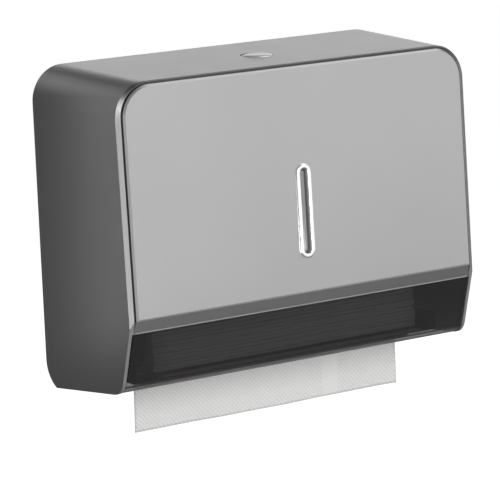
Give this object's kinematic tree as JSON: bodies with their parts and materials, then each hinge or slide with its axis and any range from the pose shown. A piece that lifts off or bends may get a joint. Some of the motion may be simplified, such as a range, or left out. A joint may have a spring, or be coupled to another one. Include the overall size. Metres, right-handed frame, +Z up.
{
  "type": "paper towel dispenser",
  "caption": "Wall dispenser for folded paper towels: a cover with a silver front, sight slot and smoked window, hinged at the bottom and released by a button on top.",
  "frame": {"origin": "in the wall plane, at the centre of the back plate's four wall screw holes", "axes": "+X to the right of someone who faces the dispenser, +Y into the wall, +Z up"},
  "size_m": [0.27, 0.0977, 0.228],
  "materials": {
    "grey_shell": "fine satin grey moulded plastic",
    "silver_panel": "silver-grey satin paint",
    "plated_trim": "bright plated plastic",
    "plated_button": "bright plated plastic, shallow dished face",
    "clear_strip": "clear plastic strip",
    "smoked_plastic": "smoked brown-black translucent plastic, polished",
    "inner_plastic": "dark grey moulded plastic",
    "lever_plastic": "pale acetal",
    "steel": "zinc plated steel",
    "towel_paper": "white embossed tissue paper"
  },
  "bodies": {
    "base": {"back_plate": "inner_plastic", "paper_tray": "inner_plastic", "tray_screws": "steel", "left_guide": "inner_plastic", "right_guide": "inner_plastic", "guide_screws": "steel", "latch_catch": "inner_plastic", "catch_screws": "steel", "hinge_pins": "steel", "towel_stack": "towel_paper", "hanging_towel": "towel_paper"},
    "cover": {"cover_shell": "grey_shell", "front_panel": "silver_panel", "sight_bezel": "plated_trim", "sight_lens": "clear_strip", "smoked_window": "smoked_plastic", "window_screws": "steel", "latch_housing": "inner_plastic", "housing_screws": "steel", "latch_pin": "steel"},
    "button": {"push_button": "plated_button", "button_spring": "steel"},
    "latch": {"latch_lever": "lever_plastic"}
  },
  "joints": [
    {"name": "cover_hinge", "type": "hinge", "parent": "base", "child": "cover", "pos_m": [0, -0.0197, -0.083], "axis": [1, 0, 0], "range_deg": [0, 95]},
    {"name": "button_press", "type": "slide", "parent": "cover", "child": "button", "axis": [0, 0, -1], "range_m": [0, 0.003], "stiffness_N_per_m": 500, "springref_m": -0.004, "deforming": ["button_spring"]},
    {"name": "latch_turn", "type": "hinge", "parent": "cover", "child": "latch", "pos_m": [0, -0.032, 0.079], "axis": [1, 0, 0], "range_deg": [0, 10]}
  ],
  "couplings": [
    {"joint": "latch_turn", "follows": "button_press", "rad_per_m": 57}
  ]
}
